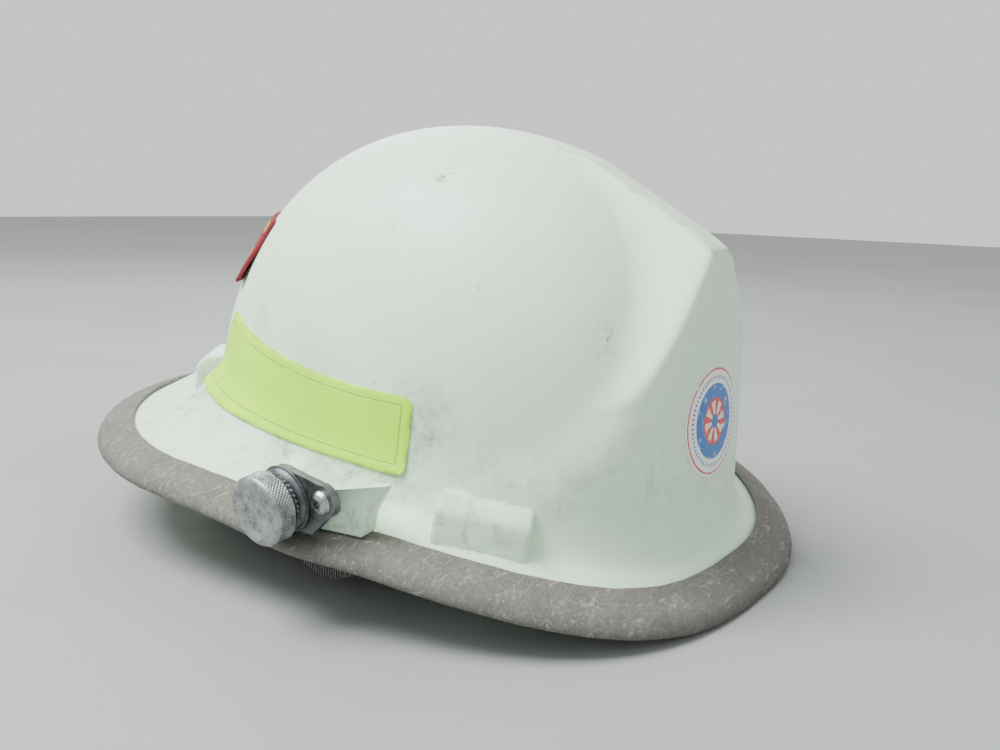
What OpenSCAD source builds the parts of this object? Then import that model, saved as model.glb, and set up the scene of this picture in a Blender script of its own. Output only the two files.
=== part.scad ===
// Firefighter helmet: hard shell with an edge trim, a side set of face shield
// hardware, reflective panels and an adjustable head suspension.
//
// Frame: millimetres, +X to the wearer's front, +Y to the wearer's left, +Z up.
// The origin is on the table the helmet rests on, midway along and across the brim.

/* [Brim] */
// Where the brim is widest, along X.
brim_x = -30.5; // [-50:0.5:0]
// How far the brim reaches forward of its widest point.
brim_front = 211; // [180:1:230]
// How far the brim reaches back from its widest point.
brim_rear = 150; // [120:1:180]
// Half the width of the brim.
brim_half_width = 138.8; // [120:0.1:160]
// Height of the brim's top face at its widest point.
brim_side_z = 39.7; // [30:0.1:60]
// How far the front of the brim droops below its sides.
brim_front_droop = 26.6; // [0:0.1:40]
// Rise of the whole brim towards the rear, in millimetres per millimetre.
brim_rise = 0.0365; // [0:0.0005:0.1]
// Wall of the shell.
shell_t = 3; // [2:0.1:5]

/* [Dome] */
// Centre the dome is measured from, along X.
dome_x = 26.5; // [10:0.5:50]
// Height of that centre.
dome_z = 48; // [30:1:60]
// Dome radius towards the front.
dome_front = 131; // [110:1:150]
// Dome radius towards the rear.
dome_rear = 131; // [90:1:140]
// Dome radius towards each side.
dome_side = 101; // [80:1:120]
// Dome height above its centre.
dome_up = 144; // [120:1:160]
// Distance from the dome's centre to the side facets of the front ridge.
facet_reach = 95; // [85:0.5:110]

/* [Panels] */
// Thickness of the stuck-on panels.
panel_t = 0.9; // [0.4:0.1:2]
// Diameter of the front emblem.
emblem_d = 47; // [30:1:70]
// Thickness of the front emblem.
emblem_t = 0.5; // [0.2:0.1:1]

/* [Face shield hardware] */
// Diameter of the knurled hand knob.
knob_d = 27; // [20:0.5:35]
// Length of the knurled hand knob.
knob_l = 9.5; // [8:0.5:20]
// Diameter of the pivot stud.
stud_d = 6; // [4:0.5:8]
// Running play of the knob on its stud, on the diameter.
stud_play = 0.12; // [0.04:0.02:0.2]
// How far the knob's axis dips towards its outer end, in degrees.
knob_dip = 8; // [0:0.5:15]

/* [Suspension] */
// Half the inside length of the headband.
head_half_length = 96; // [90:1:110]
// Half the inside width of the headband.
head_half_width = 74; // [70:1:85]
// Height of the headband's lower edge.
band_z = 50; // [40:1:70]
// Height of the headband.
band_h = 24; // [15:1:35]

/* [Hidden] */

$fn = 64;

// Shape exponents: 2 is an ellipse, more is squarer.
rim_front_n = 2.63;
rim_rear_n = 1.8;
dome_plan_n = 2.2;
dome_rise_n = 2.15;

// The front wedge: planes given as [normal, distance from the dome's centre].
front_wall = 131.5;
ridge_planes = [
  [[sin(38), 0, cos(38)], 154.5],
  [[sin(29), 0, cos(29)], 147.3],
  [[sin(14), 0, cos(14)], 142.7]
];
facet_dir = [0.292, 0.794, 0.533];
edge_sharpness = 45;
blend = 6;

// Mesh density.
columns = 100;
dome_rings = 18;
fillet_rings = 4;

saddle_drop = 2.4;
saddle_reach = 22;

// Where the face shield's axis meets the back of its bracket plate.
axis_at = [51.8, -131.6, 48.5];

trim_w = 13;
gap = 0.3;
tiny = 0.02;

// ---------- Curves of the shell ----------

function vec2(r, a) = [r * cos(a), r * sin(a)];

// Radius of the rim seen from above, at polar angle a about its widest point.
function rim_r(a) =
  let (front = cos(a) >= 0,
       n = front ? rim_front_n : rim_rear_n,
       reach = front ? brim_front : brim_rear)
  pow(pow(abs(cos(a)) / reach, n) + pow(abs(sin(a)) / brim_half_width, n), -1 / n);

function rim_xy(a) = [brim_x, 0] + vec2(rim_r(a), a);

// Outward normal of the rim in plan.
function rim_out(a) =
  let (d = rim_xy(a + 0.5) - rim_xy(a - 0.5))
  [d[1], -d[0]] / norm(d);

// The brim dips a little under the face shield hardware.
function rim_z(x) =
  let (u = x - brim_x)
  brim_side_z - brim_rise * u
  - brim_front_droop * pow(max(u, 0) / brim_front, rim_front_n)
  - saddle_drop * saddle(x);

function saddle(x) = exp(-pow((x - axis_at[0]) / saddle_reach, 2));

// Slope of the outer band of the brim, rising inwards.
function band_slope(a) = 0.30 + 0.25 * pow(max(cos(a), 0), 4);

// Point of the brim's outer band: w inwards from the edge, h above its top face.
function band_point(a, w, h) =
  let (e = rim_xy(a), n = rim_out(a))
  [e[0] - n[0] * w, e[1] - n[1] * w, rim_z(e[0]) + band_slope(a) * w + h];

function smooth_max(a, b) =
  max(a, b) + pow(max(blend - abs(a - b), 0), 2) / (4 * blend);

// Radius of the rounded dome in direction d from its centre.
function dome_radius(d) =
  let (reach = d[0] >= 0 ? dome_front : dome_rear,
       plan = pow(abs(d[0]) / reach, dome_plan_n) + pow(abs(d[1]) / dome_side, dome_plan_n),
       rise = pow(max(d[2], 0) / dome_up, dome_rise_n))
  pow(pow(plan, dome_rise_n / dome_plan_n) + rise, -1 / dome_rise_n);

// Radius of the upright front wall in direction d.
function wall_radius(d) =
  let (plan = pow(max(d[0], 0) / front_wall, 2.5) + pow(abs(d[1]) / dome_side, 2.5))
  pow(max(plan, 1e-9), -1 / 2.5);

// One plane's share of the wedge: larger where the plane is nearer.
function plane_share(d, n, c) = max((d * n) / c, 0);

// Radius of the front wedge: wall, ridge planes and the two side facets.
function wedge_radius(d) =
  let (m = [d[0], abs(d[1]), d[2]],
       k = edge_sharpness,
       shares = concat(
         [for (p = ridge_planes) plane_share(d, p[0], p[1])],
         [plane_share(m, facet_dir, facet_reach), 1 / wall_radius(d)]),
       total = [for (s = shares) pow(s * 100, k)] * [for (s = shares) 1])
  100 / pow(total, 1 / k);

// The wedge sinks under the dome towards the crown, so the two meet smoothly.
function wedge_fade(d) = 12 * pow(1 - min(max(d[0], 0) / 0.5, 1), 2);

function shell_radius(d) =
  let (dome = dome_radius(d))
  d[0] <= 0 ? dome : smooth_max(dome, wedge_radius(d) - wedge_fade(d));

function direction(az, el) = [cos(el) * cos(az), cos(el) * sin(az), sin(el)];

// Point of the shell's outer face in direction az, el, lifted by off.
function skin(az, el, off = 0) =
  let (d = direction(az, el))
  [dome_x, 0, dome_z] + (shell_radius(d) + off) * d;

// Azimuth, about the dome's centre, of the rim column at polar angle a.
function column_az(a) =
  let (e = rim_xy(a))
  atan2(e[1], e[0] - dome_x);

// Polar angle of rim column i: the columns stand closer together at the front.
function column_angle(i) =
  let (u = 360 * i / columns)
  u - 20 * sin(u);

// One column of the outer face, crown to rim.
function column(a) =
  let (az = column_az(a),
       edge = rim_xy(a) - [dome_x, 0],
       foot_r = shell_radius(direction(az, 0)),
       inner_band = band_point(a, trim_w + 1, 0),
       brim_w = norm(edge) - foot_r,
       foot_z = inner_band[2] + 0.42 * (brim_w - trim_w) + 4,
       el_end = atan2(foot_z + 14 - dome_z, foot_r),
       p0 = skin(az, el_end),
       foot = [dome_x + (foot_r + 1) * cos(az), (foot_r + 1) * sin(az), foot_z - 1],
       out = foot + (inner_band - foot) * 0.45)
  concat(
    [for (i = [1:dome_rings]) skin(az, 90 - (90 - el_end) * i / dome_rings)],
    [for (i = [1:fillet_rings])
      let (s = i / fillet_rings)
      p0 * pow(1 - s, 2) + foot * 2 * s * (1 - s) + out * pow(s, 2)],
    [inner_band, band_point(a, trim_w / 2, 0), band_point(a, 0, 0)]
  );

// The same column moved inwards by t, square to its own slope.
function inner_column(col, az, t) =
  let (last = len(col) - 1)
  [for (i = [0:last])
    let (a = col[max(i - 1, 0)],
         b = col[min(i + 1, last)],
         run = (b[0] - a[0]) * cos(az) + (b[1] - a[1]) * sin(az),
         drop = b[2] - a[2],
         l = sqrt(run * run + drop * drop))
    col[i] + t * [drop / l * cos(az), drop / l * sin(az), -run / l]];

// ---------- Mesh helpers ----------

// Closed solid from rings that each run once round, capped by two end points.
module capped_rings(rings, top, bottom) {
  n = len(rings[0]);
  m = len(rings);
  points = concat([for (r = rings) each r], [top, bottom]);
  sides = [for (j = [0:m - 2]) for (i = [0:n - 1])
    let (i2 = (i + 1) % n)
    each [[j * n + i, (j + 1) * n + i, (j + 1) * n + i2],
          [j * n + i, (j + 1) * n + i2, j * n + i2]]];
  caps = [for (i = [0:n - 1])
    let (i2 = (i + 1) % n)
    each [[n * m, i, i2],
          [n * m + 1, (m - 1) * n + i2, (m - 1) * n + i]]];
  polyhedron(points, [for (f = concat(sides, caps)) [f[2], f[1], f[0]]]);
}

// Closed loop swept right round: sections[i] are loops of equal length.
module looped_sections(sections) {
  n = len(sections);
  m = len(sections[0]);
  polyhedron(
    [for (s = sections) each s],
    [for (i = [0:n - 1]) for (j = [0:m - 1])
      let (i2 = (i + 1) % n, j2 = (j + 1) % m)
      each [[i * m + j, i2 * m + j, i2 * m + j2],
            [i * m + j, i2 * m + j2, i * m + j2]]]);
}

// Closed strip through open sections: like the loop, with two flat ends.
module open_sections(sections) {
  n = len(sections);
  m = len(sections[0]);
  polyhedron(
    [for (s = sections) each s],
    concat(
      [for (i = [0:n - 2]) for (j = [0:m - 1])
        let (j2 = (j + 1) % m)
        each [[i * m + j, (i + 1) * m + j2, (i + 1) * m + j],
              [i * m + j, i * m + j2, (i + 1) * m + j2]]],
      [[for (j = [m - 1:-1:0]) j]],
      [[for (j = [0:m - 1]) (n - 1) * m + j]]));
}

// Slab between two matching grids of points (rows of columns).
module grid_slab(over, under) {
  r = len(over);
  c = len(over[0]);
  k = r * c;
  polyhedron(
    concat([for (row = over) each row], [for (row = under) each row]),
    concat(
      [for (i = [0:r - 2]) for (j = [0:c - 2])
        let (a = i * c + j, b = a + 1, d = a + c, e = d + 1)
        each [[a, b, e], [a, e, d], [k + a, k + e, k + b], [k + a, k + d, k + e]]],
      [for (j = [0:c - 2])
        each [[j, k + j, k + j + 1], [j, k + j + 1, j + 1],
              [(r - 1) * c + j, (r - 1) * c + j + 1, k + (r - 1) * c + j + 1],
              [(r - 1) * c + j, k + (r - 1) * c + j + 1, k + (r - 1) * c + j]]],
      [for (i = [0:r - 2])
        each [[i * c, (i + 1) * c, k + (i + 1) * c], [i * c, k + (i + 1) * c, k + i * c],
              [i * c + c - 1, k + i * c + c - 1, k + (i + 1) * c + c - 1],
              [i * c + c - 1, k + (i + 1) * c + c - 1, (i + 1) * c + c - 1]]]));
}

// ---------- Shell and trim ----------

module outer_shell() {
  angles = [for (i = [0:columns - 1]) column_angle(i)];
  cols = [for (a = angles) column(a)];
  inners = [for (i = [0:columns - 1]) inner_column(cols[i], column_az(angles[i]), shell_t)];
  m = len(cols[0]);
  outer_rings = [for (j = [0:m - 1]) [for (c = cols) c[j]]];
  inner_rings = [for (j = [m - 1:-1:0])
    [for (i = [0:columns - 1])
      j >= m - 3 ? cols[i][j] - [0, 0, shell_t] : inners[i][j]]];
  crown = skin(0, 90);
  color("#e6ece0")
    union() {
      capped_rings(concat(outer_rings, inner_rings), crown, crown - [0, 0, shell_t]);
      for (side = [-1, 1]) {
        boss([103.5, 80 * side, 37.5], 58 * side, 9 * side, 19);
        boss([-80, 63.5 * side, 69], 138 * side, 0, 11);
        shield_pad(side);
      }
    }
}

// Moulded pad on the brim that the bracket plate is screwed to.
module shield_pad(side) {
  profile = [[-10, -13], [-10, -2], [0, 3], [20, 5], [39, 7.5], [30, -5], [27, -14]];
  on_axis(side)
    translate([0, 0, -15])
      linear_extrude(15 - tiny)
        polygon(profile);
}

// One moulded block on the outside of the dome: it faces azimuth az and leans by lean.
module boss(at, az, lean, depth) {
  w = 37;
  profile = [[-6, -13], [depth, -13], [depth - 1, 6], [depth - 6, 11], [-6, 11]];
  translate(at)
    rotate([lean, 0, az])
      translate([0, w / 2, 0])
        rotate([90, 0, 0])
          linear_extrude(w)
            polygon(profile);
}

module edge_trim() {
  w = trim_w;
  t = shell_t + tiny;
  // Thickness of the top flange, pinched where it passes under the hardware.
  function top(a) = 2.3 - 1.4 * saddle(rim_xy(a)[0]);
  function loop(a) = [
    [w, tiny], [w, top(a) * 0.7], [w - 1.2, top(a)], [0, top(a)], [-2.6, top(a) * 0.5],
    [-3.6, -1.5], [-2.8, -3.9], [-0.5, -5], [w - 1.5, -4.8], [w, -4.2], [w, -t],
    [-tiny, -t], [-tiny, tiny]
  ];
  color("#7c7a72")
    looped_sections([for (i = [0:columns - 1])
      let (a = column_angle(i))
      [for (p = loop(a)) band_point(a, p[0], p[1])]]);
}

// ---------- Panels on the shell ----------

// Glue line under every panel.
panel_lift = 0.35;

// Direction [azimuth, elevation] from the dome's centre to a point.
function aim(p) =
  let (d = p - [dome_x, 0, dome_z])
  [(atan2(d[1], d[0]) + 360) % 360, atan2(d[2], norm([d[0], d[1]]))];

// Where each column leaves the dome for the brim: azimuth, height and outward run of the sweep.
fillet_starts = [for (i = [0:columns])
  let (a = column_angle(i),
       az = i == columns ? 360 : (column_az(a) + 360) % 360,
       foot_r = shell_radius(direction(az, 0)),
       brim_w = norm(rim_xy(a) - [dome_x, 0]) - foot_r,
       foot_z = band_point(a, trim_w + 1, 0)[2] + 0.42 * (brim_w - trim_w) + 4)
  [az, foot_z + 14, 0.45 * (brim_w - trim_w)]];

// How far the sweep into the brim stands out from the dome at a point's azimuth and height.
function fillet_rise(az, z) =
  let (start = lookup(az, [for (f = fillet_starts) [f[0], f[1]]]),
       run = lookup(az, [for (f = fillet_starts) [f[0], f[2]]]))
  run * pow(max(start + 1 - z, 0) / 28, 2) * 1.25;

// Point lift off the shell, over the sweep into the brim as well as over the dome.
function over_shell(az, el, lift) = skin(az, el, lift + fillet_rise(az, skin(az, el)[2]));

// Panel hugging the shell between four corners: top rear, top front, bottom front, bottom rear.
module skin_panel(corners, cols, rows, thick) {
  dirs = [for (p = corners) aim(p)];
  grid = [for (i = [0:rows]) [for (j = [0:cols])
    let (u = j / cols, v = i / rows)
    (dirs[0] * (1 - u) + dirs[1] * u) * (1 - v) + (dirs[3] * (1 - u) + dirs[2] * u) * v]];
  grid_slab(
    [for (row = grid) [for (g = row) over_shell(g[0], g[1], panel_lift + thick)]],
    [for (row = grid) [for (g = row) over_shell(g[0], g[1], panel_lift)]]);
}

module reflective_panel(side) {
  corners = [[-48, -79, 105], [77, -93, 83.5], [77, -98, 53], [-64, -77, 67.5]];
  color("#d6f53c")
    scale([1, -side, 1])
      skin_panel(corners, 20, 6, panel_t);
}

module reflective_panel_right() {
  reflective_panel(-1);
}

module reflective_panel_left() {
  reflective_panel(1);
}

// Round emblem on the flat of the front wall.
module front_emblem() {
  centre = [159.5, 0, 72];
  rings = 3;
  steps = 32;
  function spot(r, a) = aim(centre + r * [0, cos(a), sin(a)]);
  function face(off) = [for (k = [rings:-1:1]) [for (i = [0:steps - 1])
    let (g = spot(emblem_d / 2 * k / rings, 360 * i / steps))
    skin(g[0], g[1], off)]];
  mid = aim(centre);
  front = face(panel_lift + emblem_t);
  back = face(panel_lift);
  color("#c9d2d8")
    capped_rings(
      concat([for (k = [rings - 1:-1:0]) front[k]], back),
      skin(mid[0], mid[1], panel_lift + emblem_t), skin(mid[0], mid[1], panel_lift));
}

// Small sewn patch on the right of the dome, towards the back.
module rear_patch() {
  color("#b01f2e")
    skin_panel([[-52.5, -29, 147], [-29.5, -62, 147], [-39.5, -74, 117], [-66.5, -34, 117]], 10, 6, 1.8);
}

// ---------- Inside of the helmet ----------

liner_gap = 1.8;
liner_t = 13;
liner_cols = 48;
liner_rings = 9;
liner_edge_z = 92;

// Point under the shell's inner face, off inwards from it.
function under(az, el, off) = skin(az, el, -(shell_t * 1.25 + off));

// Elevation at which a point off under the shell comes down to height z.
function el_at(az, z, off, lo = 0, hi = 80, k = 12) =
  k == 0 ? (lo + hi) / 2 :
  let (mid = (lo + hi) / 2)
  under(az, mid, off)[2] > z ? el_at(az, z, off, lo, mid, k - 1) : el_at(az, z, off, mid, hi, k - 1);

module impact_liner() {
  azs = [for (i = [0:liner_cols - 1]) 360 * i / liner_cols];
  outer = [for (j = [1:liner_rings]) [for (az = azs)
    under(az, 90 - (90 - el_at(az, liner_edge_z, liner_gap)) * j / liner_rings, liner_gap)]];
  inner = [for (j = [liner_rings:-1:1]) [for (az = azs)
    under(az, 90 - (90 - el_at(az, liner_edge_z, liner_t)) * j / liner_rings, liner_t)]];
  color("#2c2d2e")
    capped_rings(concat(outer, inner), under(0, 90, liner_gap), under(0, 90, liner_t));
}

// Strap running over the head in the upright plane at azimuth az.
module crown_strap(az, level) {
  steps = 20;
  strap_w = 19;
  strap_t = 1.4;
  reach = 1 / sqrt(pow(cos(az) / (head_half_length + 5), 2) + pow(sin(az) / (head_half_width + 5), 2));
  top = 158 - level;
  base = band_z + band_h + 2;
  color("#1d1d1f")
    open_sections([for (i = [0:steps])
      let (s = 180 * i / steps,
           u = [cos(s) * cos(az), cos(s) * sin(az), 0],
           side = [-sin(az), cos(az), 0] * strap_w / 2,
           p = [dome_x, 0, base] + u * reach + [0, 0, sin(s) * (top - base)],
           n = u * strap_t + [0, 0, sin(s) * strap_t])
      [p - side, p + side, p + side + n, p - side + n]]);
}

module crown_strap_long() {
  crown_strap(0, 0);
}

module crown_strap_right() {
  crown_strap(62, 2);
}

module crown_strap_left() {
  crown_strap(-62, 4);
}

// Disc that hangs under the straps, small and low enough to clear their arches.
crown_pad_d = 68;
crown_pad_z = 140.5;

module crown_pad() {
  color("#34363a")
    translate([dome_x, 0, crown_pad_z])
      cylinder(d = crown_pad_d, h = 6);
}

// Plan outline of the headband, off outwards from its inner face.
module head_outline(off) {
  polygon([for (a = [0:6:354])
    [(head_half_length + off) * cos(a), (head_half_width + off) * sin(a)]]);
}

module headband() {
  color("#202124")
    translate([dome_x, 0, band_z])
      union() {
        linear_extrude(band_h)
          difference() {
            head_outline(2.5);
            head_outline(0);
          }
        for (az = [0, 62, 118, 180, 242, 298])
          band_key(az);
      }
}

// Upright clip that carries the end of a crown strap.
module band_key(az) {
  reach = 1 / sqrt(pow(cos(az) / (head_half_length + 2.2), 2) + pow(sin(az) / (head_half_width + 2.2), 2));
  rotate([0, 0, az])
    translate([reach, -12, 6])
      cube([9, 24, band_h - 4]);
}

module brow_pad() {
  color("#3a3b3e")
    translate([dome_x, 0, band_z + 1])
      linear_extrude(band_h - 2)
        intersection() {
          difference() {
            head_outline(-gap);
            head_outline(-6);
          }
          polygon([[0, 0], [130, -100], [160, 0], [130, 100]]);
        }
}

nape_x = -68.5;
nape_mid_z = 24;
knob_axis_z = nape_mid_z;
pinion_r = 5;
rack_h = 7;
rack_t = 2;
housing_w = 60;

// Bridge from under the headband down to the ratchet housing.
module nape_hanger() {
  color("#202124")
    for (side = [-1, 1])
      translate([nape_x - 1, side * 22 - 5, nape_mid_z + 14])
        cube([5, 10, band_z - nape_mid_z - 14]);
}

module ratchet_housing() {
  color("#26272a")
    translate([nape_x, 0, nape_mid_z])
      difference() {
        translate([-4, -housing_w / 2, -14])
          cube([11, housing_w, 28]);
        translate([0.2, -40, -pinion_r - rack_h - 1])
          cube([rack_t + 0.8, 80, 2 * (pinion_r + rack_h + 1)]);
        translate([-6, 0, 0])
          rotate([0, 90, 0])
            cylinder(r = pinion_r + 0.5, h = 9);
      }
}

// Hand knob with the pinion that drives both rack straps.
module ratchet_knob() {
  color("#1a1a1c")
    translate([nape_x, 0, knob_axis_z])
      rotate([0, -90, 0])
        union() {
          translate([0, 0, 4.4])
            difference() {
              cylinder(d = 30, h = 13);
              for (i = [0:11])
                rotate([0, 0, 30 * i])
                  translate([16.6, 0, -1])
                    cylinder(d = 6, h = 15, $fn = 24);
            }
          translate([0, 0, -2.6])
            cylinder(r = pinion_r, h = 7.5);
        }
}

// Toothed strap: side is -1 for the right one, which runs over the pinion.
module rack_strap(side) {
  bar_z = side < 0 ? pinion_r + 0.25 : -pinion_r - 0.25 - rack_h;
  inner = 18;
  tab_w = 8;
  outer = 34;
  color("#2f3033")
    translate([nape_x + 0.6, 0, nape_mid_z])
      union() {
        translate([0, side < 0 ? -outer : -inner, bar_z])
          cube([rack_t, outer + inner, rack_h]);
        translate([0, side < 0 ? -outer - tab_w : outer, -13])
          cube([rack_t, tab_w, 26]);
      }
}

module rack_strap_right() {
  rack_strap(-1);
}

module rack_strap_left() {
  rack_strap(1);
}

module nape_pad() {
  color("#3a3b3e")
    translate([nape_x + 7.3, -32, 0])
      cube([7, 64, 36]);
}

// ---------- Ear and neck cover ----------

cover_steps = 36;
cover_folds = 9;

// Flared curtain round the back of the head, off outwards, starting at azimuth from.
module curtain(from, off, thick, low, high) {
  spread = 360 - 2 * from;
  open_sections([for (i = [0:cover_steps])
    let (a = from + spread * i / cover_steps,
         wave = 2.2 * sin(cover_folds * (a - 180)),
         r_low = off + wave,
         foot = [dome_x + (130 + r_low) * cos(a), (104 + r_low) * sin(a)],
         head = [dome_x + (108 + off) * cos(a), (81 + off) * sin(a)],
         n = [cos(a), sin(a)] * thick)
    [[foot[0], foot[1], low], [foot[0] + n[0], foot[1] + n[1], low],
     [head[0] + n[0], head[1] + n[1], high], [head[0], head[1], high]]]);
}

module ear_cover() {
  color("#b08a3a")
    curtain(102, 5.6, 1.2, 3, 54);
}

module ear_cover_lining() {
  color("#17171a")
    curtain(76, 0.5, 3, 6, 52);
}

// ---------- Face shield hardware ----------

// Moves a part from the knob's own frame, +Z outwards, to one side of the brim.
module on_axis(side) {
  scale([1, -side, 1])
    translate(axis_at)
      rotate([90 + knob_dip, 0, 0])
        children();
}

plate_t = 3;
spacer_t = 4.2;
washer_t = 0.9;
disc_gap = 0.1;
knob_base = plate_t + spacer_t + washer_t + 2 * disc_gap;
screw_at = [20, 3];

// Ear-shaped bracket plate screwed to the moulded pad.
module shield_bracket(side) {
  color("#4c4f52")
    on_axis(side)
      difference() {
        union() {
          cylinder(d = 25, h = plate_t);
          translate(screw_at)
            cylinder(d = 13, h = plate_t);
          linear_extrude(plate_t)
            polygon([[0, 12.5], [20, 9.4], [26, 0.8], [12, -12], [0, -12.4]]);
        }
        translate([0, 0, -1])
          cylinder(d = stud_d, h = plate_t + 2);
        translate([screw_at[0], screw_at[1], -1])
          cylinder(d = 4, h = plate_t + 2);
      }
}

module shield_bracket_right() {
  shield_bracket(-1);
}

module shield_bracket_left() {
  shield_bracket(1);
}

// Button-head screws that hold both bracket plates.
module bracket_screws() {
  color("#b9bcbf")
    for (side = [-1, 1])
      on_axis(side)
        translate(screw_at)
          difference() {
            union() {
              cylinder(d = 4, h = plate_t + 0.5);
              translate([0, 0, plate_t])
                rotate_extrude()
                  polygon([[0, 0], [4.6, 0], [4.6, 0.8], [3.9, 2.2], [2.4, 3], [0, 3]]);
            }
            translate([0, 0, plate_t + 1.4])
              cylinder(d = 3, h = 3, $fn = 6);
          }
}

module shield_stud(side) {
  color("#8f9294")
    on_axis(side)
      cylinder(d = stud_d, h = knob_base + knob_l - 4);
}

module shield_stud_right() {
  shield_stud(-1);
}

module shield_stud_left() {
  shield_stud(1);
}

// Coned spacer that the face shield turns on.
module spacer_disc(side) {
  r = knob_d / 2 - 0.4;
  color("#55585b")
    on_axis(side)
      translate([0, 0, plate_t])
        difference() {
          rotate_extrude()
            polygon([[0, 0], [r, 0], [r, 1], [r - 0.8, 1.8], [r - 3.5, spacer_t], [0, spacer_t]]);
          translate([0, 0, -1])
            cylinder(d = stud_d, h = spacer_t + 2);
        }
}

module spacer_disc_right() {
  spacer_disc(-1);
}

module spacer_disc_left() {
  spacer_disc(1);
}

// Thin washer with a serrated edge.
module star_washer(side) {
  teeth = 24;
  r = knob_d / 2 - 1;
  color("#6d7072")
    on_axis(side)
      translate([0, 0, plate_t + spacer_t + disc_gap])
        difference() {
          cylinder(r = r, h = washer_t);
          for (i = [0:teeth - 1])
            rotate([0, 0, i * 360 / teeth])
              translate([r + 0.2, 0, -1])
                cylinder(d = 1.4, h = 3, $fn = 16);
          translate([0, 0, -1])
            cylinder(d = stud_d, h = 4);
        }
}

module star_washer_right() {
  star_washer(-1);
}

module star_washer_left() {
  star_washer(1);
}

// Knurled hand knob with a narrow neck against the washer.
module shield_knob(side) {
  r = knob_d / 2;
  neck = 1.5;
  color("#a3a8a8")
    on_axis(side)
      translate([0, 0, knob_base])
        difference() {
          rotate_extrude()
            polygon([
              [0, 0], [r - 2, 0], [r - 2, neck], [r - 0.4, neck], [r, neck + 0.4],
              [r, knob_l - 1.2], [r - 1.2, knob_l], [r - 2.4, knob_l],
              [r - 3.2, knob_l - 0.4], [0, knob_l - 0.4]]);
          translate([0, 0, -1])
            cylinder(d = stud_d + stud_play, h = knob_l - 2.5);
        }
}

module shield_knob_right() {
  shield_knob(-1);
}

module shield_knob_left() {
  shield_knob(1);
}

// ---------- Assembly ----------

outer_shell();
edge_trim();
front_emblem();
reflective_panel_right();
reflective_panel_left();
rear_patch();
impact_liner();
crown_strap_long();
crown_strap_right();
crown_strap_left();
crown_pad();
headband();
brow_pad();
nape_pad();
ratchet_housing();
ratchet_knob();
rack_strap_right();
rack_strap_left();
nape_hanger();
ear_cover();
ear_cover_lining();
shield_bracket_right();
shield_bracket_left();
bracket_screws();
shield_stud_right();
shield_stud_left();
spacer_disc_right();
spacer_disc_left();
star_washer_right();
star_washer_left();
shield_knob_right();
shield_knob_left();
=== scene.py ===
"""Looks for the firefighter helmet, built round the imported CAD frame. Metres throughout."""
import math
import bmesh
import bpy
import numpy as np
from mathutils import Matrix, Vector


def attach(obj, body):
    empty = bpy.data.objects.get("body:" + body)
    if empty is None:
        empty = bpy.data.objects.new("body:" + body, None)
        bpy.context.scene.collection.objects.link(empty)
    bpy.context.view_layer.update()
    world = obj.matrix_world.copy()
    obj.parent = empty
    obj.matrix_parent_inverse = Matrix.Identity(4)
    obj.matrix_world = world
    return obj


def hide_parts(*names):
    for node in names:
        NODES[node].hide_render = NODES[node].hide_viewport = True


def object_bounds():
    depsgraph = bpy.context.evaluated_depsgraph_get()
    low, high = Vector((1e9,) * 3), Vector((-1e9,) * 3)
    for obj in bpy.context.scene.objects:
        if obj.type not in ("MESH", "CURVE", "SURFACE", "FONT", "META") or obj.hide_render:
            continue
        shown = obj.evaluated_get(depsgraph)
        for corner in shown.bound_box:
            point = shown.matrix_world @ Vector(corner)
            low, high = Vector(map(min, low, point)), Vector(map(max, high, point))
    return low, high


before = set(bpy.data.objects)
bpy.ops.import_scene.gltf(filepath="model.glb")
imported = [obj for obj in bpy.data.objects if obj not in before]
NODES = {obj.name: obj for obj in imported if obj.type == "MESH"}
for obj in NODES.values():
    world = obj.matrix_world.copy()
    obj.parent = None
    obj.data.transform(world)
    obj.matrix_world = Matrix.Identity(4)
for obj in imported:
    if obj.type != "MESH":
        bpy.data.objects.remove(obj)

CAD_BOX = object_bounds()
MM = 0.001

# ---------------------------------------------------------------- camera

CAMERA_AT = Vector((0.31572, -0.35405, 0.16140))
CAMERA_FORWARD = Vector((-0.59217, 0.78322, -0.18947))
CAMERA_UP = Vector((-0.13657, 0.13418, 0.98150))
LENS = 33.86


def add_camera():
    data = bpy.data.cameras.new("camera")
    data.lens = LENS
    data.sensor_width = 36
    data.clip_start = 0.01
    cam = bpy.data.objects.new("camera", data)
    bpy.context.scene.collection.objects.link(cam)
    right = CAMERA_FORWARD.cross(CAMERA_UP).normalized()
    up = right.cross(CAMERA_FORWARD).normalized()
    back = -CAMERA_FORWARD.normalized()
    cam.matrix_world = Matrix.Translation(CAMERA_AT) @ Matrix((right, up, back)).transposed().to_4x4()
    bpy.context.scene.camera = cam


add_camera()

# ---------------------------------------------------------------- node shorthand


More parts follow.
